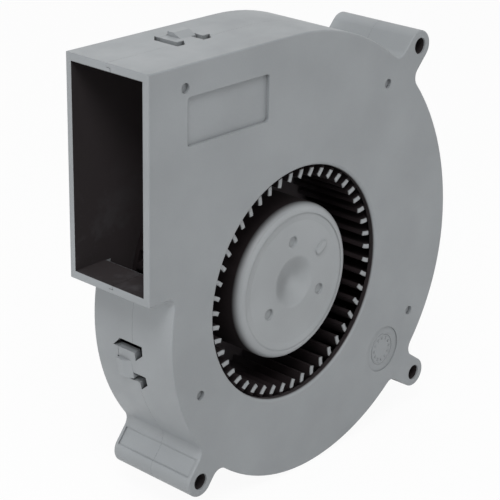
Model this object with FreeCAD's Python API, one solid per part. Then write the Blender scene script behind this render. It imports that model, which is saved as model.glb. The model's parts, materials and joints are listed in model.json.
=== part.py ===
import FreeCAD, Part
import math
import os

# Centrifugal blower fan: a scroll housing of two snapped shells, a squirrel-cage impeller
# and an outer-rotor motor on two ball bearings.
# Frame: the rotor axis is Y, the rear mounting face is y = 0, the inlet faces -Y,
# the outlet faces -X and +Z is up. Millimetres.

V = FreeCAD.Vector
AXIS = V(0, 1, 0)

# Housing
thickness = 28.0            # front face to rear face
wall = 2.1                  # side walls, seen at the outlet mouth
front_plate = 2.0
rear_plate = 2.0
parting_depth = 14.0        # rear face to the line where the shells meet
parting_gap = 0.04          # hairline left open on the outside
edge_round = 0.4
lap_height = 1.4            # rear shell's inner lip behind the parting line
lap_clearance = 0.1

# Scroll: three tangent arcs of growing radius, then the straight roof of the outlet duct
scroll_centre_x = 6.0
scroll_centre_z = -3.1
scroll_radius_low = 52.8    # tongue to bottom
scroll_radius_mid = 57.1    # bottom to right-hand side
scroll_radius_high = 66.6   # right-hand side to roof
outlet_reach = 54.4         # rotor axis to the outlet mouth
mouth_overrun = 5.0         # air space cut on past the mouth
duct_underside = 10.0
tongue_nose_radius = 1.8
tongue_root_radius = 2.4

# Inlet
inlet_radius = 32.0
inlet_lip_round = 0.9

# Mounting ears: the arc each stands on, its angle round that arc, how far the hole stands
# outside it, and the direction of the web back to the scroll
top_ear_reach = 7.6
right_ear_reach = 8.6
left_ear_reach = 6.4
ears = {
    "top": ("high", 46.6, top_ear_reach, 227.0),
    "right": ("mid", -44.1, right_ear_reach, 145.0),
    "left": ("low", 224.4, left_ear_reach, 52.0),
}
ear_hole_radius = 2.25
ear_boss_radius = 4.25
ear_web_length = 13.0
ear_root_radius = 3.1
panelled_ears = ("right", "left")
ear_panel_depth = 0.45
ear_panel_start = -0.6      # from the hole towards the scroll
ear_panel_end = 4.8
ear_panel_margin = 1.0      # from each face of the housing

# Marks in the front face
pin_mark_radius = 1.3
pin_mark_depth = 0.9
pin_marks = ((-42.4, 62.1), (34.3, 47.3), (49.1, -23.3), (-36.5, -19.6))
label_left, label_right = -41.6, -13.2
label_low, label_high = 47.5, 59.7
label_depth = 0.9
label_corner = 0.8
sign_x, sign_z = 37.8, -31.8
sign_radius = 6.7
sign_depth = 0.35

# Snaps that hold the shells together. The depths run rearwards from the parting line.
snap_tongue_width = 6.4
snap_tongue_length = 5.5
snap_hook_width = 5.4
snap_hook_start = 1.1
snap_hook_ramp = 2.5
snap_hook_rise = 1.1
snap_slot_width = 2.6
snap_slot_front = -3.3
snap_slot_narrow = 0.8      # beside the hook
snap_slot_overrun = 1.7     # the near slot past the end of the tongue
snap_foot_depth = 2.8
snap_foot_reach = 2.3
snap_end_gap = 0.6
snap_end_hairline = 0.1
snap_cut_depth = 1.5        # how far a cut runs past the wall, inwards and outwards
snap_roof_x = -26.8
snap_roof_shift = 1.7
snap_side_angle = 189.8
snap_bottom_angle = 285.0
snap_right_angle = 15.0

# Impeller
blade_count = 47
blade_phase = 4.0           # degrees
blade_inner_radius = 28.8
blade_outer_radius = 37.4
blade_recess = 1.4          # front face to the blade ends
blade_thickness = 1.15
blade_turn = 38.0           # degrees from the chord to the blade's line at either end
blade_skew = 8.0            # degrees from radial to the chord
blade_overlap = 0.4         # run past the rim before trimming
blade_root = 0.3            # sunk into the back plate
inlet_gap = 0.3             # blade ends to the edge of the inlet
impeller_gap = 0.8          # running gap to the front plate
back_gap = 1.5              # running gap to the rear plate
back_plate = 1.4
tip_ring_width = 1.0
tip_ring_height = 2.6
hub_radius = 21.4
hub_recess = 1.2
hub_round = 2.4
hub_wall = 1.9
hub_top = 2.6
hub_rim_height = 0.25       # the raised rim round the hub's face
hub_rim_radius = 18.9
hub_dish_radius = 7.1
hub_dish_depth = 1.35
hub_dish_round = 0.8
hub_pit_radius = 1.5
hub_pit_depth = 0.7
hub_pit_circle = 11.5
hub_pit_count = 3
hub_pit_start = 93.8
hub_pip_angle = 34.0
hub_pip_circle = 12.5
hub_pip_length = 4.4
hub_pip_width = 2.2
hub_pip_height = 0.5

# Rotor inside the hub
yoke_wall = 1.0
magnet_wall = 2.3
magnet_length = 14.5
magnet_gap = 1.0            # back plate to the magnet
shaft_radius = 1.5
bush_radius = 4.2
bush_length = 1.6
bush_pocket = 0.4           # sunk into the hub
bush_boss_height = 0.5
bush_boss_wall = 1.5
shaft_overhang = 2.2        # past the rear bearing
shaft_chamfer = 0.3
washer_radius = 2.7
washer_thickness = 0.3
ring_radius = 2.5
ring_thickness = 0.4
ring_groove = 0.3
ring_opening = 1.8
spring_wire = 0.35
spring_turns = 3
spring_clearance = 0.15

# Bearings, 3 x 8 x 4 millimetres
bearing_radius = 4.0
bearing_width = 4.0
ball_radius = 0.79
ball_count = 7
ring_wall = 0.75
ball_clearance = 0.04
cage_wall = 0.5
cage_height = 2.4
rear_bearing_y = -4.4       # rear face of the rear bearing
bearing_spread = 12.4       # rear face to rear face

# Motor base and stator
tube_wall = 1.2
tube_shoulder = 0.6
tube_flange_radius = 9.0
tube_flange = 1.0
tube_overhang = 0.4         # past the front bearing
tube_seat = 0.6             # sunk into the rear plate
air_gap = 0.45
stator_length = 10.0
stator_poles = 4
pole_start = 45.0           # degrees
stator_yoke_radius = 7.6
pole_neck_width = 5.0
pole_tip = 1.6
pole_opening = 24.0         # degrees left open between pole heads
insulator_thickness = 1.0
insulator_margin = 0.3      # inside the pole heads, outside the pole necks
joint_overlap = 0.2         # between fused stretches of one solid
coil_thickness = 2.2
coil_end = 2.0
coil_slack = 0.15
coil_setback = 0.6          # from the stator's hub
coil_round = 1.8
board_thickness = 1.0
board_radius = 16.5
board_gap = 1.0             # rear plate to the board
board_hole_radius = 1.6
pin_radius = 0.35
pin_inset = 1.2             # inside the stator's hub
base_rim_radius = 17.6
base_rim_wall = 1.2
wire_slot_width = 4.6
wire_slot_inner = 11.0
wire_slot_outer = 14.5
wire_channel_depth = 1.2
wire_angle = -58.0
cap_clearance = 0.05
cap_chamfer = 0.3

# Parts on the circuit board: length along the radius, width and height
hall_sensor_size = (1.4, 3.0, 1.1)
driver_chip_size = (3.8, 4.8, 1.3)
capacitor_size = (1.2, 2.0, 1.0)
resistor_size = (0.9, 1.6, 0.45)
capacitor_angles = (20, 160)
resistor_angles = (70, 100, 250, 330)
chip_circle = 13.5

# Worked-out places
half_space = 200.0          # well outside the housing
front_face = -thickness
parting = -parting_depth
front_inner = front_face + front_plate
rear_inner = -rear_plate
scroll_high_z = scroll_centre_z + scroll_radius_mid - scroll_radius_low
scroll_high_x = scroll_centre_x + scroll_radius_mid - scroll_radius_high
scroll_arcs = {
    "low": (scroll_centre_x, scroll_centre_z, scroll_radius_low),
    "mid": (scroll_centre_x, scroll_high_z, scroll_radius_mid),
    "high": (scroll_high_x, scroll_high_z, scroll_radius_high),
}
duct_top = scroll_high_z + scroll_radius_high
back_plate_rear = rear_inner - back_gap
back_plate_front = back_plate_rear - back_plate
blade_front = front_face + blade_recess
blade_shoulder = front_inner + impeller_gap
blade_neck_radius = inlet_radius - inlet_gap
hub_front = front_face + hub_recess
hub_face = hub_front + hub_rim_height
hub_inner_radius = hub_radius - hub_wall
yoke_front = hub_front + hub_top
yoke_inner = yoke_front + yoke_wall
bush_front = yoke_front - bush_pocket
bush_rear = bush_front + bush_length
bush_boss_rear = bush_rear + bush_boss_height
magnet_radius = hub_inner_radius - yoke_wall
magnet_rear = back_plate_front - magnet_gap
magnet_front = magnet_rear - magnet_length
stator_radius = magnet_radius - magnet_wall - air_gap
stator_middle = (magnet_front + magnet_rear) / 2
stator_front = stator_middle - stator_length / 2
stator_rear = stator_middle + stator_length / 2
front_bearing_y = rear_bearing_y - bearing_spread
washer_rear = rear_bearing_y + washer_thickness
shaft_rear = rear_bearing_y + shaft_overhang
tube_outer = bearing_radius + tube_wall
tube_front = front_bearing_y - bearing_width - tube_overhang
board_rear = rear_inner - board_gap
board_front = board_rear - board_thickness
tube_rear = rear_inner + tube_seat


def save(name, shape):
    """One node, written as one STEP file."""
    shape.exportStep("parts/" + name + ".step")


def polar(radius, angle, y=0.0):
    a = math.radians(angle)
    return V(radius * math.cos(a), y, radius * math.sin(a))


def cylinder(radius, y0, y1, x=0.0, z=0.0):
    return Part.makeCylinder(radius, y1 - y0, V(x, y0, z), AXIS)


def ring(outer, inner, y0, y1):
    return cylinder(outer, y0, y1).cut(cylinder(inner, y0 - 1, y1 + 1))


def box(x0, x1, y0, y1, z0, z1):
    return Part.makeBox(x1 - x0, y1 - y0, z1 - z0, V(x0, y0, z0))


def prism(edges, y0, y1):
    """A closed outline at y = 0, moved to y0 and extruded to y1."""
    face = Part.Face(Part.Wire(edges))
    face.translate(V(0, y0, 0))
    return face.extrude(V(0, y1 - y0, 0))


def polygon(points):
    corners = [V(x, 0, z) for x, z in points]
    return [Part.makeLine(a, b) for a, b in zip(corners, corners[1:] + corners[:1])]


def arc(cx, cz, radius, a0, a1):
    """Arc in the XZ plane from angle a0 to a1, degrees."""
    ends = [V(cx, 0, cz) + polar(radius, a) for a in (a0, (a0 + a1) / 2, a1)]
    return Part.Arc(*ends).toShape()


def upright_edges(shape):
    """Edges parallel to the axis, each with its foot at y = 0."""
    found = []
    for edge in shape.Edges:
        a, b = edge.Vertexes[0].Point, edge.Vertexes[-1].Point
        if abs(a.x - b.x) + abs(a.z - b.z) < 1e-6 and abs(a.y - b.y) > 1e-6:
            found.append((edge, V(a.x, 0, a.z)))
    return found


def corner_edges(shape, corner):
    """The upright edges at one corner of an outline."""
    return [edge for edge, foot in upright_edges(shape) if foot.distanceToPoint(corner) < 0.5]


def scroll_outline(inset, mouth):
    """Scroll and duct outline, moved inwards by inset and open to the outlet at x = -mouth."""
    low = scroll_radius_low - inset
    mid = scroll_radius_mid - inset
    high = scroll_radius_high - inset
    floor = duct_underside + inset
    tongue_angle = 180 - math.degrees(math.asin((floor - scroll_centre_z) / low))
    tongue = V(scroll_centre_x, 0, scroll_centre_z) + polar(low, tongue_angle)
    top = scroll_high_z + high
    return [
        Part.makeLine(V(-mouth, 0, floor), V(-mouth, 0, top)),
        Part.makeLine(V(-mouth, 0, top), V(scroll_high_x, 0, top)),
        arc(scroll_high_x, scroll_high_z, high, 90, 0),
        arc(scroll_centre_x, scroll_high_z, mid, 0, -90),
        arc(scroll_centre_x, scroll_centre_z, low, -90, tongue_angle - 360),
        Part.makeLine(tongue, V(-mouth, 0, floor)),
    ]


def tongue_corner(inset):
    low = scroll_radius_low - inset
    floor = duct_underside + inset
    return V(scroll_centre_x - math.sqrt(low ** 2 - (floor - scroll_centre_z) ** 2), 0, floor)


def cavity(inset, y0, y1):
    """The air space of the scroll, run out through the mouth, with a rounded tongue."""
    space = prism(scroll_outline(inset, outlet_reach + mouth_overrun), y0, y1)
    nose = tongue_nose_radius + wall - inset
    return space.makeFillet(nose, corner_edges(space, tongue_corner(inset)))


def ear_frame(name):
    """Hole centre, direction of the web and its normal."""
    arc_name, angle, stand_off, web_angle = ears[name]
    cx, cz, radius = scroll_arcs[arc_name]
    hole = V(cx, 0, cz) + polar(radius + stand_off, angle)
    return hole, polar(1, web_angle), polar(1, web_angle + 90)


def ear_solid(name):
    hole, along, across = ear_frame(name)
    side = across * ear_boss_radius
    far = hole + along * ear_web_length
    corners = [hole + side, far + side, far - side, hole - side]
    web = prism(polygon([(p.x, p.z) for p in corners]), front_face, 0)
    return web.fuse(cylinder(ear_boss_radius, front_face, 0, hole.x, hole.z))


def ear_root_edges(shape, name):
    """The two inner corners where the flanks of an ear's web leave the scroll."""
    hole, along, across = ear_frame(name)
    found = []
    for edge, foot in upright_edges(shape):
        reach = (foot - hole).dot(along)
        if abs(abs((foot - hole).dot(across)) - ear_boss_radius) < 0.01 and 0.1 < reach < ear_web_length:
            found.append(edge)
    return found


def ear_panels(name):
    """Shallow panels with sloping ends, sunk in both flanks of an ear's web."""
    hole, along, across = ear_frame(name)
    a, b, slope = ear_panel_start, ear_panel_end, ear_panel_depth
    cut = None
    for side in (1, -1):
        outline = [(a + slope, -slope), (b - slope, -slope), (b + 1, 1), (a - 1, 1)]
        corners = [hole + along * t + across * (side * (ear_boss_radius + n)) for t, n in outline]
        piece = prism(polygon([(p.x, p.z) for p in corners]),
                      front_face + ear_panel_margin, -ear_panel_margin)
        cut = piece if cut is None else cut.fuse(piece)
    return cut


def housing_blank():
    """Both shells as one solid: scroll, ears, rounded edges, air space, inlet."""
    blank = prism(scroll_outline(0, outlet_reach), front_face, 0)
    for name in ears:
        blank = blank.fuse(ear_solid(name))
    blank = blank.removeSplitter()
    blank = blank.makeFillet(tongue_root_radius, corner_edges(blank, tongue_corner(0)))
    for name in ears:
        blank = blank.makeFillet(ear_root_radius, ear_root_edges(blank, name))
    rim = [e for e in blank.Edges
           if all(abs(v.Point.y - front_face) < 1e-6 for v in e.Vertexes)
           or all(abs(v.Point.y) < 1e-6 for v in e.Vertexes)]
    blank = blank.makeFillet(edge_round, rim)
    blank = blank.cut(cavity(wall, front_inner, rear_inner))
    for name in ears:
        hole = ear_frame(name)[0]
        blank = blank.cut(cylinder(ear_hole_radius, front_face - 1, 1, hole.x, hole.z))
    for name in panelled_ears:
        blank = blank.cut(ear_panels(name))
    blank = blank.cut(cylinder(inlet_radius, front_face - 1, front_inner + 1))
    lip = [e for e in blank.Edges
           if abs(e.BoundBox.YMin - front_face) < 1e-6 and abs(e.BoundBox.YMax - front_face) < 1e-6
           and abs(e.BoundBox.XMax - inlet_radius) < 1e-3]
    return blank.makeFillet(inlet_lip_round, lip)


def snap_places():
    """Each snap: a point on the parting line, the outward direction and the sideways one."""
    places = [(V(snap_roof_x, parting + snap_roof_shift, duct_top), V(0, 0, 1), V(1, 0, 0))]
    for name, angle in (("low", snap_side_angle), ("mid", snap_bottom_angle), ("high", snap_right_angle)):
        cx, cz, radius = scroll_arcs[name]
        places.append((V(cx, parting, cz) + polar(radius, angle), polar(1, angle), polar(1, angle + 90)))
    return places


def snap_cut(place, outline):
    """An outline of sideways and depth places in a snap's frame, cut through the wall."""
    point, out, side = place
    base = point - out * (wall + snap_cut_depth)
    corners = [base + side * s + AXIS * d for s, d in outline]
    edges = [Part.makeLine(a, b) for a, b in zip(corners, corners[1:] + corners[:1])]
    return Part.Face(Part.Wire(edges)).extrude(out * (wall + 2 * snap_cut_depth))


def snap_slots(place):
    """The two slots beside a tongue, each with a foot that ends in a slope."""
    half = snap_tongue_width / 2
    near, far = -half - snap_slot_width, half + snap_slot_width
    front = snap_slot_front
    foot = front + snap_foot_depth
    over = snap_tongue_length + snap_slot_overrun
    end = snap_tongue_length + snap_end_gap
    near_slot = [(near, front), (-half, front), (-half + snap_foot_reach, foot), (-half, foot),
                 (-half, over), (near, over - snap_slot_width)]
    hook_side = far - snap_slot_narrow
    hook_start = hook_side - snap_hook_width
    far_slot = [(half, front), (far, front), (far + snap_foot_reach, foot), (far, foot), (far, end),
                (hook_start, end), (hook_start, snap_tongue_length), (hook_side, snap_tongue_length),
                (hook_side, snap_hook_start), (half, snap_hook_start)]
    return snap_cut(place, near_slot).fuse(snap_cut(place, far_slot))


def snap_strip(place, front, end):
    """The tongue's full outline from a depth ahead of the parting line to its end."""
    half = snap_tongue_width / 2
    hook_side = half + snap_slot_width - snap_slot_narrow
    return snap_cut(place, [(-half, front), (half, front), (half, snap_hook_start),
                            (hook_side, snap_hook_start), (hook_side, end), (-half, end)])


def snap_hook(place):
    """A low wedge on the tongue that rises towards its free end."""
    point, out, side = place
    start = snap_hook_start
    top = start + snap_hook_ramp
    profile = [(start, -wall / 2), (start, 0), (top, snap_hook_rise), (snap_tongue_length, snap_hook_rise),
               (snap_tongue_length, -wall / 2)]
    hook_side = snap_tongue_width / 2 + snap_slot_width - snap_slot_narrow
    corners = [point + side * (hook_side - snap_hook_width) + out * h + AXIS * d for d, h in profile]
    edges = [Part.makeLine(a, b) for a, b in zip(corners, corners[1:] + corners[:1])]
    return Part.Face(Part.Wire(edges)).extrude(side * snap_hook_width)


def rounded_rectangle(x0, x1, z0, z1, radius, y0, y1):
    block = box(x0, x1, y0, y1, z0, z1)
    corners = [e for e in block.Edges if abs(e.BoundBox.YLength - (y1 - y0)) < 1e-6]
    return block.makeFillet(radius, corners)


def lap_lip():
    """The rear shell's inner lip, half a wall thick, that locates the front shell."""
    y0 = parting - lap_height + lap_clearance
    lip = prism(scroll_outline((wall + lap_clearance) / 2, outlet_reach), y0, parting + 1)
    return lip.cut(cavity(wall, y0 - 1, parting + 2))


def half_box(y0, y1):
    return box(-half_space, half_space, y0, y1, -half_space, half_space)


def front_shell(blank):
    shell = blank.common(half_box(front_face - 1, parting - parting_gap))
    seat_inset = (wall - lap_clearance) / 2
    seat = prism(scroll_outline(seat_inset, outlet_reach + 1), parting - lap_height, parting)
    shell = shell.cut(seat)
    for x, z in pin_marks:
        shell = shell.cut(cylinder(pin_mark_radius, front_face - 1, front_face + pin_mark_depth, x, z))
    shell = shell.cut(rounded_rectangle(label_left, label_right, label_low, label_high, label_corner,
                                        front_face - 1, front_face + label_depth))
    shell = shell.cut(cylinder(sign_radius, front_face - 1, front_face + sign_depth, sign_x, sign_z))
    for place in snap_places():
        root = parting - place[0].y - lap_height
        shell = shell.fuse(blank.common(snap_strip(place, root, snap_tongue_length)))
        shell = shell.cut(snap_slots(place)).fuse(snap_hook(place))
    return shell


def wire_route():
    """The slot through the rear plate for the leads and the channel that leads them out."""
    along = polar(1, wire_angle)
    across = polar(wire_slot_width / 2, wire_angle + 90)
    cut = None
    for r0, r1, y0 in ((wire_slot_inner, wire_slot_outer, rear_inner - 1),
                       (wire_slot_inner, half_space, -wire_channel_depth)):
        corners = [along * r0 + across, along * r1 + across, along * r1 - across, along * r0 - across]
        piece = prism(polygon([(p.x, p.z) for p in corners]), y0, 1)
        cut = piece if cut is None else cut.fuse(piece)
    return cut


def rear_shell(blank):
    shell = blank.common(half_box(parting, 1))
    shell = shell.fuse(lap_lip())
    for place in snap_places():
        root = parting - place[0].y - lap_height
        shell = shell.cut(snap_strip(place, root, snap_tongue_length + snap_end_hairline))
        shell = shell.cut(snap_slots(place))
    shell = shell.fuse(ring(base_rim_radius, base_rim_radius - base_rim_wall, board_rear, rear_inner))
    shell = shell.cut(cylinder(tube_outer, rear_inner - 1, 1))
    shell = shell.cut(cylinder(tube_flange_radius, tube_rear - tube_flange, 1))
    return shell.cut(wire_route())


def blade():
    """One blade between two arcs round one centre, cupped towards the direction of rotation."""
    skew = math.radians(blade_skew)
    chord = math.sqrt(blade_outer_radius ** 2 - (blade_inner_radius * math.sin(skew)) ** 2)
    chord += blade_overlap - blade_inner_radius * math.cos(skew)
    turn = math.radians(blade_turn)
    camber_radius = chord / 2 / math.sin(turn)
    inner_edge = V(blade_inner_radius, 0, 0)
    centre = inner_edge + polar(chord / 2, blade_skew)
    centre += polar(camber_radius * math.cos(turn), blade_skew + 90)
    start, end = blade_skew - 90 - blade_turn, blade_skew - 90 + blade_turn
    near = arc(centre.x, centre.z, camber_radius - blade_thickness / 2, start, end)
    far = arc(centre.x, centre.z, camber_radius + blade_thickness / 2, end, start)
    tip = Part.makeLine(near.valueAt(near.LastParameter), far.valueAt(far.FirstParameter))
    root = Part.makeLine(far.valueAt(far.LastParameter), near.valueAt(near.FirstParameter))
    return prism([near, tip, far, root], blade_front, back_plate_front + blade_root)


def round_edges(shape, y, radius):
    """The circular edges at one place along the axis with one radius."""
    return [e for e in shape.Edges
            if abs(e.BoundBox.YMin - y) < 1e-6 and abs(e.BoundBox.YMax - y) < 1e-6
            and abs(e.BoundBox.XMax - radius) < 1e-3]


def hub_cup():
    """The closed cup: rounded rim, sunk face, a spherical dish, three pits and a pip."""
    cup = cylinder(hub_radius, hub_front, back_plate_front)
    cup = cup.makeFillet(hub_round, round_edges(cup, hub_front, hub_radius))
    cup = cup.cut(cylinder(hub_rim_radius, hub_front - 1, hub_face))
    ball = (hub_dish_radius ** 2 + hub_dish_depth ** 2) / (2 * hub_dish_depth)
    cup = cup.cut(Part.makeSphere(ball, V(0, hub_face + hub_dish_depth - ball, 0)))
    cup = cup.makeFillet(hub_dish_round, round_edges(cup, hub_face, hub_dish_radius))
    for i in range(hub_pit_count):
        spot = polar(hub_pit_circle, hub_pit_start + 360.0 * i / hub_pit_count)
        cup = cup.cut(cylinder(hub_pit_radius, hub_face - 1, hub_face + hub_pit_depth, spot.x, spot.z))
    inner = hub_pip_circle - (hub_pip_length - hub_pip_width) / 2
    outer = hub_pip_circle + (hub_pip_length - hub_pip_width) / 2
    y0, y1 = hub_face - hub_pip_height, hub_face + hub_pip_height
    half = hub_pip_width / 2
    pip = box(inner, outer, y0, y1, -half, half)
    pip = pip.fuse([cylinder(half, y0, y1, x) for x in (inner, outer)])
    pip.rotate(V(0, 0, 0), V(0, -1, 0), hub_pip_angle)
    return cup.fuse(pip.removeSplitter())


def impeller():
    """Hub cup, back plate, blades and tip ring, moulded in one piece."""
    body = hub_cup().fuse(ring(blade_outer_radius, hub_inner_radius, back_plate_front, back_plate_rear))
    body = body.cut(cylinder(hub_inner_radius, yoke_front, back_plate_rear + 1))
    body = body.fuse(ring(blade_outer_radius, blade_outer_radius - tip_ring_width, blade_shoulder,
                          blade_shoulder + tip_ring_height))
    single = blade()
    blades = []
    for i in range(blade_count):
        copy = single.copy()
        copy.rotate(V(0, 0, 0), V(0, -1, 0), blade_phase + 360.0 * i / blade_count)
        blades.append(copy)
    body = body.fuse(blades)
    body = body.common(cylinder(blade_outer_radius, front_face, 0))
    body = body.cut(ring(blade_outer_radius + 2, blade_neck_radius, front_face - 1, blade_shoulder))
    body = body.removeSplitter()
    return body.cut(cylinder(bush_radius, bush_front, yoke_front + 1))


def rotor_yoke():
    cup = cylinder(hub_inner_radius, yoke_front, back_plate_rear)
    cup = cup.cut(cylinder(magnet_radius, yoke_inner, back_plate_rear + 1))
    return cup.cut(cylinder(bush_radius, yoke_front - 1, yoke_inner + 1))


def rotor_magnet():
    return ring(magnet_radius, magnet_radius - magnet_wall, magnet_front, magnet_rear)


def shaft_bush():
    body = ring(bush_radius, shaft_radius, bush_front, bush_rear)
    return body.fuse(ring(shaft_radius + bush_boss_wall, shaft_radius, bush_rear, bush_boss_rear))


def shaft():
    body = cylinder(shaft_radius, bush_front, shaft_rear)
    body = body.makeChamfer(shaft_chamfer, round_edges(body, shaft_rear, shaft_radius))
    groove = ring(shaft_radius + 1, shaft_radius - ring_groove, washer_rear, washer_rear + ring_thickness)
    return body.cut(groove)


def thrust_washer():
    return ring(washer_radius, shaft_radius, rear_bearing_y, washer_rear)


def retaining_ring():
    """A split ring snapped into the shaft's groove."""
    body = ring(ring_radius, shaft_radius - ring_groove, washer_rear, washer_rear + ring_thickness)
    half = ring_opening / 2
    return body.cut(box(-half, half, washer_rear - 1, washer_rear + 1, 0, ring_radius + 1))


def preload_spring():
    """A short flat-wire coil between the bush and the front bearing's inner ring."""
    length = front_bearing_y - bearing_width - bush_boss_rear - spring_wire
    inner = shaft_radius + spring_clearance
    half = spring_wire / 2
    coil = Part.makeHelix(length / spring_turns, length, inner + half)
    corners = [V(inner, 0, -half), V(inner + spring_wire, 0, -half), V(inner + spring_wire, 0, half),
               V(inner, 0, half)]
    profile = Part.makePolygon(corners + corners[:1])
    body = Part.Wire(coil).makePipeShell([profile], True, True)
    body.rotate(V(0, 0, 0), V(1, 0, 0), -90)
    body.translate(V(0, bush_boss_rear + half, 0))
    return body


def bearing(y1):
    """Outer ring, inner ring, balls and cage of one bearing whose rear face is at y1."""
    y0 = y1 - bearing_width
    middle = (y0 + y1) / 2
    pitch = (bearing_radius + shaft_radius) / 2
    groove = Part.makeTorus(pitch, ball_radius + ball_clearance, V(0, middle, 0), AXIS)
    outer = ring(bearing_radius, bearing_radius - ring_wall, y0, y1).cut(groove)
    inner = ring(shaft_radius + ring_wall, shaft_radius, y0, y1).cut(groove)
    y2, y3 = middle - cage_height / 2, middle + cage_height / 2
    cage = ring(pitch + cage_wall / 2, pitch - cage_wall / 2, y2, y3)
    balls = []
    for i in range(ball_count):
        angle = 90 + 360.0 * i / ball_count
        balls.append(Part.makeSphere(ball_radius, polar(pitch, angle, middle)))
        cage = cage.cut(Part.makeCylinder(ball_radius + ball_clearance, bearing_radius, V(0, middle, 0),
                                          polar(1, angle)))
    return {"outer_ring": outer, "inner_ring": inner, "cage": cage, "balls": Part.makeCompound(balls)}


def bearing_tube():
    body = ring(tube_outer, bearing_radius - tube_shoulder, tube_front, tube_rear)
    for y1 in (front_bearing_y, rear_bearing_y):
        body = body.cut(cylinder(bearing_radius, y1 - bearing_width, y1))
    body = body.cut(cylinder(bearing_radius, tube_front - 1, front_bearing_y))
    body = body.cut(cylinder(bearing_radius, rear_bearing_y - bearing_width, 1))
    flange = ring(tube_flange_radius, tube_outer - joint_overlap, tube_rear - tube_flange, tube_rear)
    return body.fuse(flange)


def rear_cap():
    """A plug pressed flush into the rear face over the bearing tube."""
    body = cylinder(tube_flange_radius - cap_clearance, tube_rear, 0)
    rim = [e for e in body.Edges if abs(e.BoundBox.YMin) < 1e-6 and e.BoundBox.XLength > 1]
    return body.makeChamfer(cap_chamfer, rim)


def stator_profile(inner_radius, outer_radius, neck, tip, opening):
    """Hub ring, straight pole necks and curved pole heads, as one flat star."""
    solid = ring(stator_yoke_radius, inner_radius, 0, 1)
    heads = ring(outer_radius, outer_radius - tip, 0, 1)
    for i in range(stator_poles):
        angle = pole_start + 360.0 * i / stator_poles
        arm = box(inner_radius + joint_overlap, outer_radius - joint_overlap, 0, 1, -neck / 2, neck / 2)
        arm.rotate(V(0, 0, 0), V(0, -1, 0), angle)
        solid = solid.fuse(arm)
        gap = math.radians(opening / 2)
        reach = outer_radius * 2
        side = reach * math.tan(gap)
        wedge = prism(polygon([(0, 0), (reach, -side), (reach, side)]), -1, 2)
        wedge.rotate(V(0, 0, 0), V(0, -1, 0), angle + 180.0 / stator_poles)
        heads = heads.cut(wedge)
    solid = solid.fuse(heads).common(cylinder(outer_radius, -1, 2))
    return solid.removeSplitter()


def stretch(flat, y0, y1):
    """A flat star of unit thickness, stretched between two places on the axis."""
    foot = [f for f in flat.Faces if f.BoundBox.YMax < 1e-6][0]
    foot.translate(V(0, y0, 0))
    return foot.extrude(V(0, y1 - y0, 0))


def stator_core():
    flat = stator_profile(tube_outer, stator_radius, pole_neck_width, pole_tip, pole_opening)
    return stretch(flat, stator_front, stator_rear)


def insulator(y0, y1):
    """Moulded star on one end of the core, with a rim that keeps the windings in."""
    neck = pole_neck_width + 2 * insulator_margin
    flat = stator_profile(tube_outer, stator_radius - insulator_margin, neck, pole_tip, pole_opening)
    return stretch(flat, y0, y1)


def stator_coils():
    """Four windings, each a rounded loop round a pole neck."""
    y0 = stator_front - insulator_thickness
    y1 = stator_rear + insulator_thickness
    half = pole_neck_width / 2 + insulator_margin
    inner = math.sqrt(stator_yoke_radius ** 2 - half ** 2) + coil_slack + coil_setback
    head = stator_radius - insulator_margin - pole_tip
    outer = math.sqrt(head ** 2 - (half + coil_thickness) ** 2) - coil_slack
    coils = []
    for i in range(stator_poles):
        wide = half + coil_thickness
        body = box(inner, outer, y0 - coil_end, y1 + coil_end, -wide, wide)
        along = [e for e in body.Edges if abs(e.BoundBox.XLength - (outer - inner)) < 1e-6]
        body = body.makeFillet(coil_round, along)
        body = body.cut(box(inner - 1, outer + 1, y0, y1, -half, half))
        body.rotate(V(0, 0, 0), V(0, -1, 0), pole_start + 360.0 * i / stator_poles)
        coils.append(body)
    return Part.makeCompound(coils)


def circuit_board():
    board = ring(board_radius, tube_outer, board_front, board_rear)
    return board.cut(cylinder(board_hole_radius, board_front - 1, board_rear + 1, chip_circle, 0))


def chip(angle, radius, size):
    """A chip on the front side of the board, its long side across the radius."""
    length, width, height = size
    body = box(radius - length / 2, radius + length / 2, board_front - height, board_front,
               -width / 2, width / 2)
    body.rotate(V(0, 0, 0), V(0, -1, 0), angle)
    return body


def board_parts():
    inner_circle = (tube_outer + chip_circle) / 2
    middle_circle = (inner_circle + chip_circle) / 2
    return {
        "hall_sensor": chip(0, inner_circle, hall_sensor_size),
        "driver_chip": chip(180, middle_circle, driver_chip_size),
        "capacitors": Part.makeCompound([chip(a, chip_circle, capacitor_size) for a in capacitor_angles]),
        "resistors": Part.makeCompound([chip(a, chip_circle, resistor_size) for a in resistor_angles]),
    }


def winding_pins():
    """Pins that carry the winding ends from the rear insulator to the board."""
    pins = []
    for i in range(stator_poles):
        spot = polar(stator_yoke_radius - pin_inset, 360.0 * i / stator_poles)
        pins.append(cylinder(pin_radius, stator_rear + insulator_thickness, board_front, spot.x, spot.z))
    return Part.makeCompound(pins)


def main():
    os.makedirs("parts", exist_ok=True)
    blank = housing_blank()
    save("front_shell", front_shell(blank))
    save("rear_shell", rear_shell(blank))
    save("impeller", impeller())
    save("rotor_yoke", rotor_yoke())
    save("rotor_magnet", rotor_magnet())
    save("shaft_bush", shaft_bush())
    save("shaft", shaft())
    save("thrust_washer", thrust_washer())
    save("retaining_ring", retaining_ring())
    save("preload_spring", preload_spring())
    for side, y1 in (("front", front_bearing_y), ("rear", rear_bearing_y)):
        for name, shape in bearing(y1).items():
            save(side + "_bearing_" + name, shape)
    save("bearing_tube", bearing_tube())
    save("rear_cap", rear_cap())
    save("stator_core", stator_core())
    save("front_insulator", insulator(stator_front - insulator_thickness, stator_front))
    save("rear_insulator", insulator(stator_rear, stator_rear + insulator_thickness))
    save("stator_coils", stator_coils())
    save("circuit_board", circuit_board())
    for name, shape in board_parts().items():
        save(name, shape)
    save("winding_pins", winding_pins())


main()
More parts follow.
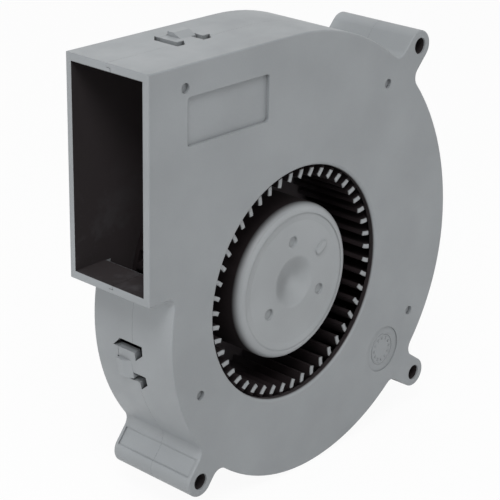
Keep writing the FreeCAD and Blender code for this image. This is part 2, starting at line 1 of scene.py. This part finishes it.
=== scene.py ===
import bmesh
import bpy
import json
import math
from mathutils import Matrix, Vector


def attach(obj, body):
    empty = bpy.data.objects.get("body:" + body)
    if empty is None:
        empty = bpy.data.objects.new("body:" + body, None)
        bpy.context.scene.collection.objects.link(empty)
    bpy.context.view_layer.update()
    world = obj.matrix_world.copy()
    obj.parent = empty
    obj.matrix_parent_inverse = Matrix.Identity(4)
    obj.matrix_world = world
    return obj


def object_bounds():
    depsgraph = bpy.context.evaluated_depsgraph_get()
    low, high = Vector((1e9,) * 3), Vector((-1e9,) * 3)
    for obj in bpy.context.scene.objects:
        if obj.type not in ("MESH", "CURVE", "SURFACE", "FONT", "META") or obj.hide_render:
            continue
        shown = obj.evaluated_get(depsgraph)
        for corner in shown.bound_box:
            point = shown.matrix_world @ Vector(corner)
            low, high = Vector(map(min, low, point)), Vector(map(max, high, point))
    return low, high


# The looks of a centrifugal blower: moulded grey plastic outside, metals, winding and
# board inside. Metres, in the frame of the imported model: the rotor axis is Y, the inlet
# faces -Y, the outlet faces -X and +Z is up.

MM = 0.001

# Camera, solved from the outlet's corners, the ear holes, the pin marks and the inlet.
# Place and near clip in metres, angles in degrees, lens and sensor in millimetres
CAMERA_PLACE = (-315.67 * MM, -296.78 * MM, 178.34 * MM)
CAMERA_AZIMUTH = -47.816
CAMERA_ELEVATION = 22.2
CAMERA_ROLL = 1.122
CAMERA_LENS = 123.868
CAMERA_NEAR = 0.01
SENSOR_WIDTH = 36.0

# Light: the world's level on the object, and the lamps, all aimed at its middle, with
# their places and diameters in metres and their power in watts
WORLD_LEVEL = 0.25
LAMPS = (
    ("key", (-0.45, -0.35, 0.75), 0.4, 4.3),
    ("top", (0.0, 0.1, 0.8), 0.5, 0.7),
    ("front", (-0.2, -0.6, 0.45), 0.5, 0.7),
    ("side", (-0.7, 0.15, 0.12), 0.3, 1.1),
    ("right", (0.5, -0.5, 0.2), 0.5, 0.35),
    ("back", (0.3, 0.8, 0.5), 0.6, 1.2),
)

# Floor: its side and the gap under the object in metres, its finish, and the share of
# plain white that the camera sees on it
FLOOR_SIZE = 6.0
FLOOR_GAP = 0.0002
FLOOR_COLOUR = (0.86, 0.86, 0.86, 1.0)
FLOOR_ROUGHNESS = 0.9
FLOOR_WHITE = 0.94
WHITE = (1.0, 1.0, 1.0, 1.0)

# Colours, linear
HOUSING_GREY = (0.284, 0.301, 0.314)
IMPELLER_GREY = (0.350, 0.367, 0.379)
# Painted shade: these five greys stand in for the shade on the unlit insides and in crevices
SHADE_BLACK = (0.013, 0.009, 0.010)
SHADE_FAR_GREY = (0.066, 0.052, 0.056)
SHADE_DEEP_GREY = (0.105, 0.092, 0.098)
SMEARED_SHADE_GREY = (0.050, 0.046, 0.050)
CREVICE_SHADE_GREY = (0.070, 0.070, 0.073)
WIRE_HOLLOW_SHADE = (0.30, 0.105, 0.040)
WIRE_BRIGHT = (0.62, 0.26, 0.11)
MASK_DARK = (0.010, 0.085, 0.035)
MASK_PALE = (0.022, 0.150, 0.062)

# Plastic: scales of its noises per metre, the bands of noise that are spread from 0 to 1,
# the swing of its shade and roughness, its dark specks, and its grain's depth in metres
CLOUD_SCALE = 45.0
CLOUD_BAND = (0.35, 0.65)
CLOUD_SWING = 0.05
SPECK_SCALE = 2600.0
SPECK_AMOUNT = 0.06
SPECK_SHADE = 0.55
PATCH_SCALE = 140.0
PATCH_SWING = 0.07
GRAIN_SCALE = 3200.0
GRAIN_DEPTH = 0.00003
NOISE_BAND = (0.3, 0.7)
PLASTIC_IOR = 1.5

# The housing's painted crevice shade, darkened by ambient occlusion: colour, reach in metres
# and the band of openness that is spread
CREVICE_SHADE = (CREVICE_SHADE_GREY, 0.0016, (0.15, 0.65))

# Metals: how the noise is stretched, the span of shade and of roughness, and the
# scratches' strength and depth in metres
TURNED = (600.0, 60.0, 600.0)
STACKED = (40.0, 3000.0, 40.0)
METAL_SHADES = (0.88, 1.06)
METAL_ROUGHNESS = (-0.06, 0.08)
SCRATCH_STRENGTH = 0.12
SCRATCH_DEPTH = 0.00002

# Winding and board: pattern scales per metre, and bump strengths and depths in metres
WIRE_SCALE = 900.0
WIRE_DISTORTION = 1.5
WIRE_STRENGTH = 0.6
WIRE_DEPTH = 0.00012
MASK_SCALE = 260.0
MASK_BAND = (0.49, 0.51)
MASK_STRENGTH = 0.4
MASK_DEPTH = 0.00004

OCCLUSION_SAMPLES = 8
BEVEL_SAMPLES = 4

# The scroll's air space in the XZ plane, millimetres, whose walls get painted shade:
# centre x, centre z and radius of its three arcs, the duct's floor and roof, the plates'
# inner faces, and how far the painted shade reaches into the walls' skin
LOW_ARC = (6.0, -3.1, 50.7)
MID_ARC = (6.0, 1.2, 55.0)
HIGH_ARC = (-3.5, 1.2, 64.5)
DUCT_FLOOR = 12.1
DUCT_ROOF = 65.7
FRONT_INSIDE = -26.0
REAR_INSIDE = -2.0
SKIN = 0.1

# In the duct, millimetres: where the painted shade pales from the mouth inwards, and
# where it turns a smeared dark grey towards the duct's floor, with the smears' noise
DUCT_FADE = (-54.4, -10.0)
SMEAR_FADE = (40.0, 14.0)
SMEAR_SCALE = 90.0
SMEAR_BAND = (0.48, 0.68)

# Painted shade on the walls of the screw holes and the inlet, millimetres: the skin and
# the depths of the holes, and the inlet's reach from the axis and the depths where its
# shade fades in
HOLE_SKIN = 0.5
HOLE_DEPTHS = (-27.5, -0.5)
INLET_REACH = 33.5
INLET_FADE = (-27.7, -27.2)

# Impeller, millimetres: the hub's radius and the width of its rounded edge, the depths
# where painted shade fades in on the blades and on that edge, those where the painted
# shade pales again, and the radius to which the blades' ends show, painted dark beyond
HUB_RADIUS = 21.4
HUB_EDGE = 3.0
BLADE_FADE = (-26.5, -26.2)
HUB_FADE = (-26.2, -24.0)
DEEP_FADE = (-14.0, -6.0)
TICK_REACH = 31.0

# The hub's face, millimetres: radii and rise of the rim's inner slope and of the dish
HUB_SLOPE = (16.9, 18.9)
HUB_SLOPE_RISE = 0.4
HUB_DISH = (0.0, 7.8)
HUB_DISH_RISE = 3.0

# The line where the shells meet, millimetres
PARTING = -14.0
PARTING_HALF = 0.5

# A plain ring of strokes in the round recess of the front face, millimetres and radians:
# the recess's centre and floor, the bars' height and the share of their width that slopes,
# the ring's radius, and the strokes' ends as distances inside it
MARK_CENTRE = (37.8, -31.8)
MARK_FLOOR = -27.65
MARK_HEIGHT = 0.13
MARK_SLOPE = 0.3
MARK_RING = 4.7
RING_WIDTH = 0.5
RING_HALF_ANGLE = math.pi * 0.999
RING_STEPS = 96
MARK_STROKES = 12
STROKE_INNER = 1.9
STROKE_OUTER = 1.0
STROKE_HALF_ANGLE = math.radians(4)
STROKE_STEPS = 2

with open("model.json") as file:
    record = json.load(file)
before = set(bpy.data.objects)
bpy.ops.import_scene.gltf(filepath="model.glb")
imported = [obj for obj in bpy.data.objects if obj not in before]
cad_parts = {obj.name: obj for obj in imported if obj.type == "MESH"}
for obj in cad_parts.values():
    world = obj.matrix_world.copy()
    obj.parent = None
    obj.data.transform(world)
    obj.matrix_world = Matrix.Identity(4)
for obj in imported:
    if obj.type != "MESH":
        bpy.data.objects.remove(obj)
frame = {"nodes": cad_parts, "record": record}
nodes = frame["nodes"]
cad_low, cad_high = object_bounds()


def empty_material(name):
    material = bpy.data.materials.new(name)
    material.use_nodes = True
    tree = material.node_tree
    tree.nodes.clear()
    output = tree.nodes.new("ShaderNodeOutputMaterial")
    shader = tree.nodes.new("ShaderNodeBsdfPrincipled")
    tree.links.new(shader.outputs["BSDF"], output.inputs["Surface"])
    return material, tree, shader


def texture_place(tree):
    return tree.nodes.new("ShaderNodeTexCoord").outputs["Object"]


def noise(tree, place, scale, detail=2.0, roughness=0.5):
    node = tree.nodes.new("ShaderNodeTexNoise")
    node.inputs["Scale"].default_value = scale
    node.inputs["Detail"].default_value = detail
    node.inputs["Roughness"].default_value = roughness
    tree.links.new(place, node.inputs["Vector"])
    return node.outputs["Fac"]


def spread(tree, value, span, onto=(0.0, 1.0), kind="LINEAR"):
    """Maps one span of values onto another, and holds its ends."""
    node = tree.nodes.new("ShaderNodeMapRange")
    node.interpolation_type = kind
    for name, number in zip(("From Min", "From Max", "To Min", "To Max"), (*span, *onto)):
        node.inputs[name].default_value = number
    tree.links.new(value, node.inputs["Value"])
    return node.outputs["Result"]


def fade(tree, value, span, kind="LINEAR"):
    """From 0 at the first of two places in millimetres to 1 at the second."""
    return spread(tree, value, (span[0] * MM, span[1] * MM), kind=kind)


def math_node(tree, operation, a, b):
    node = tree.nodes.new("ShaderNodeMath")
    node.operation = operation
    for socket, value in zip(node.inputs, (a, b)):
        if isinstance(value, (int, float)):
            socket.default_value = value
        else:
            tree.links.new(value, socket)
    return node.outputs["Value"]


def blend_colours(tree, factor, first, second):
    """From the first colour at factor 0 to the second at 1."""
    node = tree.nodes.new("ShaderNodeMix")
    node.data_type = "RGBA"
    tree.links.new(factor, node.inputs["Factor"])
    for name, value in (("A", first), ("B", second)):
        socket = [s for s in node.inputs if s.name == name and s.type == "RGBA"][0]
        if isinstance(value, tuple):
            socket.default_value = (*value, 1.0)
        else:
            tree.links.new(value, socket)
    return [s for s in node.outputs if s.type == "RGBA"][0]


def separate(tree, place):
    node = tree.nodes.new("ShaderNodeSeparateXYZ")
    tree.links.new(place, node.inputs["Vector"])
    return node.outputs["X"], node.outputs["Y"], node.outputs["Z"]


def both(tree, a, b):
    return math_node(tree, "MULTIPLY", a, b)


def either(tree, a, b):
    return math_node(tree, "MAXIMUM", a, b)


def below(tree, value, limit):
    """1 where the value is under a limit in millimetres, 0 elsewhere."""
    return math_node(tree, "LESS_THAN", value, limit * MM)


def above(tree, value, limit):
    """1 where the value is over a limit in millimetres, 0 elsewhere."""
    return math_node(tree, "GREATER_THAN", value, limit * MM)


def distance_from(tree, x, z, centre=(0.0, 0.0)):
    """Distance in the XZ plane, metres, from the axis or another centre in millimetres."""
    across = math_node(tree, "SUBTRACT", x, centre[0] * MM)
    up = math_node(tree, "SUBTRACT", z, centre[1] * MM)
    squares = math_node(tree, "ADD", both(tree, across, across), both(tree, up, up))
    return math_node(tree, "SQRT", squares, 0.0)


def inside_arc(tree, x, z, arc):
    return below(tree, distance_from(tree, x, z, arc[:2]), arc[2] + SKIN)


def air_space(tree, x, y, z):
    """1 on the walls round the scroll's air space and its outlet duct, 0 outside."""
    low = inside_arc(tree, x, z, LOW_ARC)
    mid = both(tree, inside_arc(tree, x, z, MID_ARC), above(tree, x, MID_ARC[0]))
    high = both(tree, inside_arc(tree, x, z, HIGH_ARC), above(tree, x, HIGH_ARC[0]))
    high = both(tree, high, above(tree, z, HIGH_ARC[1]))
    duct = both(tree, above(tree, z, DUCT_FLOOR - SKIN), below(tree, z, DUCT_ROOF + SKIN))
    duct = both(tree, duct, below(tree, x, HIGH_ARC[0]))
    outline = either(tree, either(tree, low, mid), either(tree, high, duct))
    front = above(tree, y, FRONT_INSIDE - SKIN)
    rear = below(tree, y, REAR_INSIDE + SKIN)
    return both(tree, outline, both(tree, front, rear))


def ear_holes(tree, x, y, z):
    """1 on the walls of the screw holes, a little inside both faces."""
    found = None
    for mount in frame["record"]["mounts"]:
        if mount["kind"] == "bore":
            hole_x, _, hole_z = (v / MM for v in mount["pos_m"])
            radius = mount["dims"]["r_mm"] + HOLE_SKIN
            hole = below(tree, distance_from(tree, x, z, (hole_x, hole_z)), radius)
            found = hole if found is None else either(tree, found, hole)
    front = above(tree, y, HOLE_DEPTHS[0])
    rear = below(tree, y, HOLE_DEPTHS[1])
    return both(tree, found, both(tree, front, rear))


def inlet_wall(tree, x, y, z):
    """Fades in over the inlet's rounded lip to 1 on its wall."""
    near = below(tree, distance_from(tree, x, z), INLET_REACH)
    near = both(tree, near, below(tree, y, FRONT_INSIDE))
    return both(tree, near, fade(tree, y, INLET_FADE))


def housing_shadow(tree, place):
    """Painted shade on the unlit insides of the housing: how dark, and the colour there."""
    x, y, z = separate(tree, place)
    dark = blend_colours(tree, fade(tree, x, DUCT_FADE), SHADE_BLACK, SHADE_FAR_GREY)
    # painted shade: towards the duct's floor it turns a smeared dark grey
    low = fade(tree, z, SMEAR_FADE)
    smears = spread(tree, noise(tree, place, SMEAR_SCALE, 5.0, 0.65), SMEAR_BAND)
    dark = blend_colours(tree, both(tree, low, smears), dark, SMEARED_SHADE_GREY)
    # painted shade on the walls of the screw holes and the inlet
    holes = either(tree, ear_holes(tree, x, y, z), inlet_wall(tree, x, y, z))
    dark = blend_colours(tree, holes, dark, SHADE_BLACK)
    return either(tree, air_space(tree, x, y, z), holes), dark


def impeller_shadow(tree, place):
    """Painted shade in the unlit depth between the blades and round the hub, and its colour.
    """
    x, y, z = separate(tree, place)
    reach = distance_from(tree, x, z)
    blades = both(tree, above(tree, reach, HUB_RADIUS + SKIN), fade(tree, y, BLADE_FADE))
    hub = both(tree, above(tree, reach, HUB_RADIUS - HUB_EDGE), fade(tree, y, HUB_FADE))
    # painted shade beyond the radius to which the blades' ends show
    rim = above(tree, reach, TICK_REACH)
    amount = either(tree, either(tree, blades, rim), hub)
    inner = math_node(tree, "SUBTRACT", 1.0, rim)
    deep = both(tree, fade(tree, y, DEEP_FADE), inner)
    return amount, blend_colours(tree, deep, SHADE_BLACK, SHADE_DEEP_GREY)


def occlusion(tree, distance):
    node = tree.nodes.new("ShaderNodeAmbientOcclusion")
    node.samples = OCCLUSION_SAMPLES
    node.inputs["Distance"].default_value = distance
    return node.outputs["AO"]


def bump(tree, height, strength, distance, normal=None):
    node = tree.nodes.new("ShaderNodeBump")
    node.inputs["Strength"].default_value = strength
    node.inputs["Distance"].default_value = distance
    tree.links.new(height, node.inputs["Height"])
    if normal is not None:
        tree.links.new(normal, node.inputs["Normal"])
    return node.outputs["Normal"]


def rounded_edges(tree, radius):
    node = tree.nodes.new("ShaderNodeBevel")
    node.samples = BEVEL_SAMPLES
    node.inputs["Radius"].default_value = radius
    return node.outputs["Normal"]


def shade(colour, factor):
    return tuple(channel * factor for channel in colour)


def hub_face(tree, place, normal):
    """The soft inner slope of the rim round the hub's face, and its dish."""
    x, y, z = separate(tree, place)
    front = below(tree, y, HUB_FADE[0])
    reach = distance_from(tree, x, z)
    slope = both(tree, front, fade(tree, reach, HUB_SLOPE))
    normal = bump(tree, slope, 1.0, HUB_SLOPE_RISE * MM, normal)
    dish = fade(tree, reach, HUB_DISH, "SMOOTHSTEP")
    return bump(tree, dish, 1.0, HUB_DISH_RISE * MM, normal)


def faint_seam(tree, place, normal):
    """Keeps the shells' meeting edges from catching light as rounded ones."""
    _, y, _ = separate(tree, place)
    off = math_node(tree, "ABSOLUTE", math_node(tree, "SUBTRACT", y, PARTING * MM), 0.0)
    mix = tree.nodes.new("ShaderNodeMix")
    mix.data_type = "VECTOR"
    tree.links.new(below(tree, off, PARTING_HALF), mix.inputs["Factor"])
    rounded, sharp = [s for s in mix.inputs if s.type == "VECTOR" and s.name in ("A", "B")]
    tree.links.new(normal, rounded)
    tree.links.new(tree.nodes.new("ShaderNodeNewGeometry").outputs["Normal"], sharp)
    return [s for s in mix.outputs if s.type == "VECTOR"][0]


def moulded_plastic(name, colour, rough=0.5, grain=0.35, crevice_shade=None, shadow=None,
                    form=None, edge=0.25, gloss=0.5):
    """Fine spark-eroded grain, faint clouding, painted shade in crevices and on the unlit
    insides, and soft edges.

    The edge's radius is in millimetres. The crevice shade is a colour, a reach and a band,
    and shadow and form are functions that paint shade on the insides and add to the normal.
    """
    material, tree, shader = empty_material(name)
    place = texture_place(tree)
    clouds = spread(tree, noise(tree, place, CLOUD_SCALE, 3.0), CLOUD_BAND)
    skin = blend_colours(tree, clouds, shade(colour, 1 - CLOUD_SWING),
                         shade(colour, 1 + CLOUD_SWING))
    speck = spread(tree, noise(tree, place, SPECK_SCALE, 1.0), NOISE_BAND)
    speck = math_node(tree, "MULTIPLY", speck, SPECK_AMOUNT)
    skin = blend_colours(tree, speck, skin, shade(colour, SPECK_SHADE))
    # painted shade: crevices darkened by ambient occlusion
    if crevice_shade is not None:
        dark, distance, band = crevice_shade
        open_sky = spread(tree, occlusion(tree, distance), band)
        skin = blend_colours(tree, open_sky, dark, skin)
    # painted shade on the unlit insides
    if shadow is not None:
        amount, dark = shadow(tree, place)
        skin = blend_colours(tree, amount, skin, dark)
    tree.links.new(skin, shader.inputs["Base Color"])
    patches = noise(tree, place, PATCH_SCALE, 4.0)
    roughness = spread(tree, patches, NOISE_BAND, (rough - PATCH_SWING, rough + PATCH_SWING))
    if shadow is not None:
        roughness = either(tree, roughness, amount)
    tree.links.new(roughness, shader.inputs["Roughness"])
    grain_height = noise(tree, place, GRAIN_SCALE, 2.0, 0.6)
    normal = rounded_edges(tree, edge * MM)
    if form is not None:
        normal = form(tree, place, normal)
    normal = bump(tree, grain_height, grain, GRAIN_DEPTH, normal)
    tree.links.new(normal, shader.inputs["Normal"])
    shader.inputs["IOR"].default_value = PLASTIC_IOR
    shader.inputs["Specular IOR Level"].default_value = gloss
    return material


def metal(name, colour, rough, stretch=TURNED):
    """Turned or rolled metal: stretched noise varies its shine and its colour a little."""
    material, tree, shader = empty_material(name)
    mapping = tree.nodes.new("ShaderNodeMapping")
    tree.links.new(texture_place(tree), mapping.inputs["Vector"])
    mapping.inputs["Scale"].default_value = stretch
    lines = noise(tree, mapping.outputs["Vector"], 1.0, 4.0)
    tone = spread(tree, lines, NOISE_BAND)
    dull, bright = (shade(colour, factor) for factor in METAL_SHADES)
    tree.links.new(blend_colours(tree, tone, dull, bright), shader.inputs["Base Color"])
    smooth, worn = (rough + change for change in METAL_ROUGHNESS)
    roughness = spread(tree, lines, NOISE_BAND, (smooth, worn))
    tree.links.new(roughness, shader.inputs["Roughness"])
    scratches = bump(tree, lines, SCRATCH_STRENGTH, SCRATCH_DEPTH)
    tree.links.new(scratches, shader.inputs["Normal"])
    shader.inputs["Metallic"].default_value = 1.0
    return material


def winding_copper(name):
    """Enamelled wire: fine ridges across each winding, with painted shade in their hollows.
    """
    material, tree, shader = empty_material(name)
    wave = tree.nodes.new("ShaderNodeTexWave")
    wave.bands_direction = "Y"
    wave.inputs["Scale"].default_value = WIRE_SCALE
    wave.inputs["Distortion"].default_value = WIRE_DISTORTION
    tree.links.new(texture_place(tree), wave.inputs["Vector"])
    tone = wave.outputs["Fac"]
    # painted shade: the colour follows the ridges' height, dark in the hollows between turns
    skin = blend_colours(tree, tone, WIRE_HOLLOW_SHADE, WIRE_BRIGHT)
    tree.links.new(skin, shader.inputs["Base Color"])
    ridges = bump(tree, tone, WIRE_STRENGTH, WIRE_DEPTH)
    tree.links.new(ridges, shader.inputs["Normal"])
    shader.inputs["Metallic"].default_value = 0.75
    shader.inputs["Roughness"].default_value = 0.32
    return material


def board_green(name):
    """Solder mask with paler, slightly raised copper areas showing through."""
    material, tree, shader = empty_material(name)
    areas = spread(tree, noise(tree, texture_place(tree), MASK_SCALE, 0.0), MASK_BAND)
    skin = blend_colours(tree, areas, MASK_DARK, MASK_PALE)
    tree.links.new(skin, shader.inputs["Base Color"])
    raised = bump(tree, areas, MASK_STRENGTH, MASK_DEPTH)
    tree.links.new(raised, shader.inputs["Normal"])
    shader.inputs["Roughness"].default_value = 0.28
    return material


# A material for each slot of the record
MATERIALS = {
    "housing_plastic": moulded_plastic("housing_grey", HOUSING_GREY, crevice_shade=CREVICE_SHADE,
                                       shadow=housing_shadow, form=faint_seam),
    "impeller_plastic": moulded_plastic("impeller_grey", IMPELLER_GREY, rough=0.45,
                                        grain=0.2, shadow=impeller_shadow, form=hub_face,
                                        edge=0.7, gloss=0.2),
    "cap_plastic": moulded_plastic("cap_black", (0.022, 0.022, 0.024), rough=0.45),
    "cage_plastic": moulded_plastic("cage_natural", (0.62, 0.56, 0.44), rough=0.4),
    "insulator_plastic": moulded_plastic("insulator_black", (0.028, 0.028, 0.030)),
    "chip_resin": moulded_plastic("chip_black", (0.018, 0.018, 0.019), rough=0.55),
    "ceramic_part": moulded_plastic("ceramic_tan", (0.36, 0.24, 0.13), rough=0.3, grain=0.1),
    "magnet_rubber": moulded_plastic("magnet_dark", (0.040, 0.036, 0.034), rough=0.65),
    "yoke_steel": metal("yoke_zinc", (0.52, 0.53, 0.54), 0.38),
    "shaft_steel": metal("shaft_ground", (0.60, 0.60, 0.61), 0.20),
    "bush_brass": metal("bush_turned", (0.70, 0.52, 0.22), 0.30),
    "bearing_steel": metal("bearing_polished", (0.62, 0.62, 0.63), 0.15),
    "core_steel": metal("core_laminated", (0.30, 0.30, 0.31), 0.45, STACKED),
    "copper_winding": winding_copper("winding_enamel"),
    "board_laminate": board_green("board_mask"),
    "tinned_pin": metal("pin_tinned", (0.68, 0.68, 0.68), 0.25),
}


def finish_nodes():
    """Every CAD node takes the material of its slot in the record."""
    for row in frame["record"]["subparts"]:
        mesh = nodes[row["node"]].data
        mesh.materials.clear()
        mesh.materials.append(MATERIALS[row["material_slot"]])


def make_mark():
    """A low ring with strokes inside it, raised from the floor of the round recess."""
    shape = bmesh.new()

    def bar(inner, outer, half_angle, angle, steps):
        """A raised stretch of ring between two radii, with sloped sides."""
        slope = MARK_SLOPE * (outer - inner)
        profile = ((inner, 0), (inner + slope, MARK_HEIGHT),
                   (outer - slope, MARK_HEIGHT), (outer, 0))
        rows = []
        for step in range(steps + 1):
            turn = angle - half_angle + 2 * half_angle * step / steps
            row = []
            for radius, height in profile:
                x = MARK_CENTRE[0] + radius * math.cos(turn)
                z = MARK_CENTRE[1] + radius * math.sin(turn)
                row.append(shape.verts.new((x * MM, (MARK_FLOOR - height) * MM, z * MM)))
            rows.append(row)
        for near, far in zip(rows, rows[1:]):
            for k in range(len(profile)):
                after = (k + 1) % len(profile)
                shape.faces.new((near[k], near[after], far[after], far[k]))
        shape.faces.new(rows[0][::-1])
        shape.faces.new(rows[-1])

    bar(MARK_RING - RING_WIDTH, MARK_RING, RING_HALF_ANGLE, 0.0, RING_STEPS)
    for stroke in range(MARK_STROKES):
        bar(MARK_RING - STROKE_INNER, MARK_RING - STROKE_OUTER, STROKE_HALF_ANGLE,
            2 * math.pi * stroke / MARK_STROKES, STROKE_STEPS)
    bmesh.ops.recalc_face_normals(shape, faces=shape.faces)
    mesh = bpy.data.meshes.new("mould_mark")
    shape.to_mesh(mesh)
    shape.free()
    mesh.materials.append(MATERIALS["housing_plastic"])
    mark = bpy.data.objects.new("mould_mark", mesh)
    bpy.context.scene.collection.objects.link(mark)
    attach(mark, "housing")


def seen_directly(tree):
    """1 for rays from the camera and for those mirrored or passed on to it."""
    path = tree.nodes.new("ShaderNodeLightPath")
    seen = either(tree, path.outputs["Is Camera Ray"], path.outputs["Is Glossy Ray"])
    return either(tree, seen, path.outputs["Is Transmission Ray"])


def make_floor():
    """A plain pale floor that shows white to the camera and still takes a faint shadow."""
    place = (0, 0, cad_low.z - FLOOR_GAP)
    bpy.ops.mesh.primitive_plane_add(size=FLOOR_SIZE, location=place)
    floor = bpy.context.object
    floor.name = "floor"
    material, tree, shader = empty_material("floor_pale")
    shader.inputs["Base Color"].default_value = FLOOR_COLOUR
    shader.inputs["Roughness"].default_value = FLOOR_ROUGHNESS
    glow = tree.nodes.new("ShaderNodeEmission")
    glow.inputs["Color"].default_value = WHITE
    white = math_node(tree, "MULTIPLY", seen_directly(tree), FLOOR_WHITE)
    mix = tree.nodes.new("ShaderNodeMixShader")
    tree.links.new(white, mix.inputs[0])
    tree.links.new(shader.outputs["BSDF"], mix.inputs[1])
    tree.links.new(glow.outputs["Emission"], mix.inputs[2])
    output = [n for n in tree.nodes if n.type == "OUTPUT_MATERIAL"][0]
    tree.links.new(mix.outputs["Shader"], output.inputs["Surface"])
    floor.data.materials.append(material)


def make_world():
    """White where the camera sees it, and at the plain level as light on the object."""
    world = bpy.data.worlds.new("studio")
    bpy.context.scene.world = world
    world.use_nodes = True
    tree = world.node_tree
    tree.nodes.clear()
    output = tree.nodes.new("ShaderNodeOutputWorld")
    background = tree.nodes.new("ShaderNodeBackground")
    background.inputs["Color"].default_value = WHITE
    level = spread(tree, seen_directly(tree), (0.0, 1.0), (WORLD_LEVEL, 1.0))
    tree.links.new(level, background.inputs["Strength"])
    tree.links.new(background.outputs["Background"], output.inputs["Surface"])


def make_lights():
    middle = (cad_low + cad_high) / 2
    for name, place, size, power in LAMPS:
        light = bpy.data.lights.new(name, "AREA")
        light.shape = "DISK"
        light.size = size
        light.energy = power
        lamp = bpy.data.objects.new(name, light)
        bpy.context.scene.collection.objects.link(lamp)
        lamp.location = place
        lamp.rotation_euler = (middle - Vector(place)).to_track_quat("-Z", "Y").to_euler()


def make_camera():
    a = math.radians(CAMERA_AZIMUTH)
    e = math.radians(CAMERA_ELEVATION)
    r = math.radians(CAMERA_ROLL)
    back = Vector((math.sin(a) * math.cos(e), -math.cos(a) * math.cos(e), math.sin(e)))
    right = Vector((math.cos(a), math.sin(a), 0.0))
    up = back.cross(right)
    rolled_right = right * math.cos(r) + up * math.sin(r)
    rolled_up = up * math.cos(r) - right * math.sin(r)
    turn = Matrix((rolled_right, rolled_up, back)).transposed().to_4x4()
    data = bpy.data.cameras.new("photo_camera")
    data.lens = CAMERA_LENS
    data.sensor_width = SENSOR_WIDTH
    data.clip_start = CAMERA_NEAR
    camera = bpy.data.objects.new("photo_camera", data)
    bpy.context.scene.collection.objects.link(camera)
    camera.matrix_world = Matrix.Translation(Vector(CAMERA_PLACE)) @ turn
    bpy.context.scene.camera = camera


finish_nodes()
make_mark()
make_floor()
make_world()
make_lights()
make_camera()
bpy.context.scene.view_settings.view_transform = "Standard"
